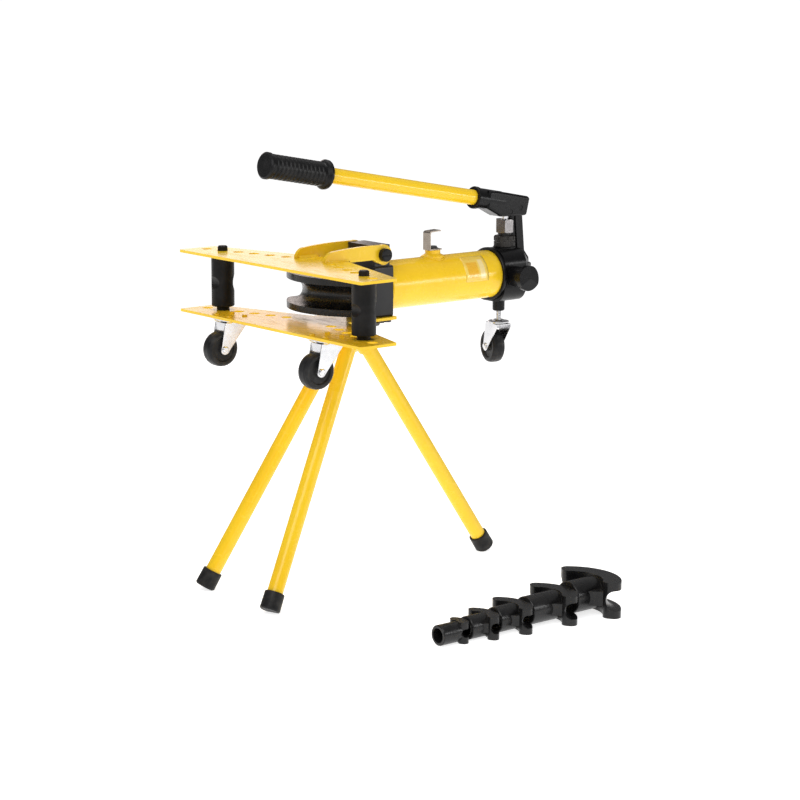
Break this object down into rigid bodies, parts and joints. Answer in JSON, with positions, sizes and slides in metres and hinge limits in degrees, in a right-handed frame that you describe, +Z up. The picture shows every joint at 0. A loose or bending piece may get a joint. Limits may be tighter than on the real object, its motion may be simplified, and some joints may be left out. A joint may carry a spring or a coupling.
{
  "type": "conduit bender",
  "caption": "Hand-pumped hydraulic pipe and conduit bender: ram cylinder, grooved die and counter rollers between winged plates, on a tripod with casters, with loose dies.",
  "frame": {"origin": "middle of the overall box in plan, on the floor under the foot caps", "axes": "+X along the ram from the open front edge of the wing plates to the pump, +Y across towards the far wing, +Z up"},
  "size_m": [0.8174, 0.9135, 0.9435],
  "materials": {
    "yellow_enamel": "gloss",
    "black_enamel": "satin",
    "black_cast": "black oxide",
    "zinc_plate": "zinc plated",
    "bright_steel": "machined",
    "dark_steel": "oxide",
    "chromed_rod": "polished",
    "bronze": "machined",
    "foot_rubber": "matte",
    "seal_rubber": "matte",
    "grip_plastic": "satin",
    "wheel_rubber": "satin"
  },
  "bodies": {
    "frame": {"lower_wing_plate": "yellow_enamel", "front_block": "black_enamel", "block_bolts": "dark_steel", "cylinder_tube": "yellow_enamel", "pressure_barrel": "bright_steel", "gland_bush": "bronze", "end_ring": "black_cast", "pump_body": "black_enamel", "pump_barrel": "dark_steel", "barrel_locknut": "black_cast", "gland_nut": "bright_steel", "plunger_seal": "seal_rubber", "check_valve_balls": "bright_steel", "filler_boss": "yellow_enamel", "filler_cap": "dark_steel", "hanger_strap": "zinc_plate", "tripod_head": "yellow_enamel", "head_bolts": "dark_steel", "leg_front_far": "yellow_enamel", "leg_front_near": "yellow_enamel", "leg_rear": "yellow_enamel", "foot_caps": "foot_rubber", "caster_plates": "zinc_plate", "caster_bolts": "yellow_enamel", "rear_caster_collar": "black_enamel", "rear_caster_stem": "zinc_plate", "yoke_pins": "black_cast", "link_pin": "dark_steel", "return_spring": "dark_steel"},
    "ram": {"ram_rod": "chromed_rod", "piston_head": "bright_steel", "piston_seal": "seal_rubber"},
    "die": {"bending_die": "black_cast"},
    "wing": {"upper_wing_plate": "yellow_enamel", "yoke_arms": "yellow_enamel"},
    "roller_far": {"roller_far": "black_cast"},
    "roller_near": {"roller_near": "black_cast"},
    "link": {"link_straps": "black_enamel"},
    "lever": {"lever_socket": "black_enamel", "lever_pins": "dark_steel", "socket_screw": "dark_steel"},
    "handle": {"handle_tube": "yellow_enamel", "handle_grip": "grip_plastic"},
    "plunger": {"pump_plunger": "chromed_rod"},
    "release": {"release_stem": "bright_steel", "release_knob": "black_enamel"},
    "swivel_far": {"caster_fork_far": "zinc_plate", "caster_axle_far": "zinc_plate"},
    "swivel_near": {"caster_fork_near": "zinc_plate", "caster_axle_near": "zinc_plate"},
    "swivel_rear": {"caster_fork_rear": "zinc_plate", "caster_axle_rear": "zinc_plate"},
    "wheel_far": {"caster_wheel_far": "wheel_rubber"},
    "wheel_near": {"caster_wheel_near": "wheel_rubber"},
    "wheel_rear": {"caster_wheel_rear": "wheel_rubber"},
    "loose_1": {"loose_die_1": "black_cast"},
    "loose_2": {"loose_die_2": "black_cast"},
    "loose_3": {"loose_die_3": "black_cast"},
    "loose_4": {"loose_die_4": "black_cast"},
    "loose_5": {"loose_die_5": "black_cast"}
  },
  "joints": [
    {"name": "ram_slide", "type": "slide", "parent": "frame", "child": "ram", "axis": [-1, 0, 0], "range_m": [0, 0.18], "stiffness_N_per_m": 400, "springref_m": -0.05, "deforming": ["return_spring"]},
    {"name": "die_pull", "type": "slide", "parent": "ram", "child": "die", "axis": [-1, 0, 0], "range_m": [0, 0.05]},
    {"name": "upper_wing_hinge", "type": "hinge", "parent": "frame", "child": "wing", "pos_m": [-0.03829, 0.14002, 0.7145], "axis": [0, 1, 0], "range_deg": [0, 22]},
    {"name": "roller_far_spin", "type": "hinge", "parent": "frame", "child": "roller_far", "pos_m": [-0.24469, 0.38762, 0.639], "axis": [0, 0, 1], "continuous": true},
    {"name": "roller_near_spin", "type": "hinge", "parent": "frame", "child": "roller_near", "pos_m": [-0.24469, -0.10758, 0.639], "axis": [0, 0, 1], "continuous": true},
    {"name": "link_swing", "type": "hinge", "parent": "frame", "child": "link", "pos_m": [0.39371, 0.14002, 0.657], "axis": [0, 1, 0], "range_deg": [-0.8, 0.3]},
    {"name": "lever_stroke", "type": "hinge", "parent": "link", "child": "lever", "pos_m": [0.38171, 0.14002, 0.784], "axis": [0, 1, 0], "range_deg": [-5, 40]},
    {"name": "plunger_slide", "type": "slide", "parent": "frame", "child": "plunger", "axis": [0, 0, 1], "range_m": [-0.004, 0.022]},
    {"name": "handle_pull", "type": "slide", "parent": "lever", "child": "handle", "axis": [-0.9842, 0, 0.1772], "range_m": [0, 0.12]},
    {"name": "release_turn", "type": "hinge", "parent": "frame", "child": "release", "pos_m": [0.34071, 0.05002, 0.636], "axis": [0, -1, 0], "range_deg": [0, 180]},
    {"name": "caster_far_swivel", "type": "hinge", "parent": "frame", "child": "swivel_far", "pos_m": [-0.27929, 0.31002, 0.549], "axis": [0, 0, 1], "continuous": true},
    {"name": "caster_near_swivel", "type": "hinge", "parent": "frame", "child": "swivel_near", "pos_m": [-0.27929, -0.02998, 0.549], "axis": [0, 0, 1], "continuous": true},
    {"name": "caster_rear_swivel", "type": "hinge", "parent": "frame", "child": "swivel_rear", "pos_m": [0.33871, 0.14002, 0.549], "axis": [0, 0, 1], "continuous": true},
    {"name": "caster_far_roll", "type": "hinge", "parent": "swivel_far", "child": "wheel_far", "pos_m": [-0.30729, 0.31002, 0.51], "axis": [0, 1, 0], "continuous": true},
    {"name": "caster_near_roll", "type": "hinge", "parent": "swivel_near", "child": "wheel_near", "pos_m": [-0.30729, -0.02998, 0.51], "axis": [0, 1, 0], "continuous": true},
    {"name": "caster_rear_roll", "type": "hinge", "parent": "swivel_rear", "child": "wheel_rear", "pos_m": [0.34596, 0.16706, 0.468], "axis": [0.9659, -0.2588, 0], "continuous": true},
    {"name": "loose_die_1_lift", "type": "slide", "parent": "frame", "child": "loose_1", "axis": [0, 0, 1], "range_m": [0, 0.25]},
    {"name": "loose_die_2_lift", "type": "slide", "parent": "frame", "child": "loose_2", "axis": [0, 0, 1], "range_m": [0, 0.25]},
    {"name": "loose_die_3_lift", "type": "slide", "parent": "frame", "child": "loose_3", "axis": [0, 0, 1], "range_m": [0, 0.25]},
    {"name": "loose_die_4_lift", "type": "slide", "parent": "frame", "child": "loose_4", "axis": [0, 0, 1], "range_m": [0, 0.25]},
    {"name": "loose_die_5_lift", "type": "slide", "parent": "frame", "child": "loose_5", "axis": [0, 0, 1], "range_m": [0, 0.25]}
  ],
  "couplings": [
    {"joint": "link_swing", "follows": "lever_stroke", "ratio": -0.013648},
    {"joint": "plunger_slide", "follows": "lever_stroke", "m_per_rad": 0.029818}
  ]
}
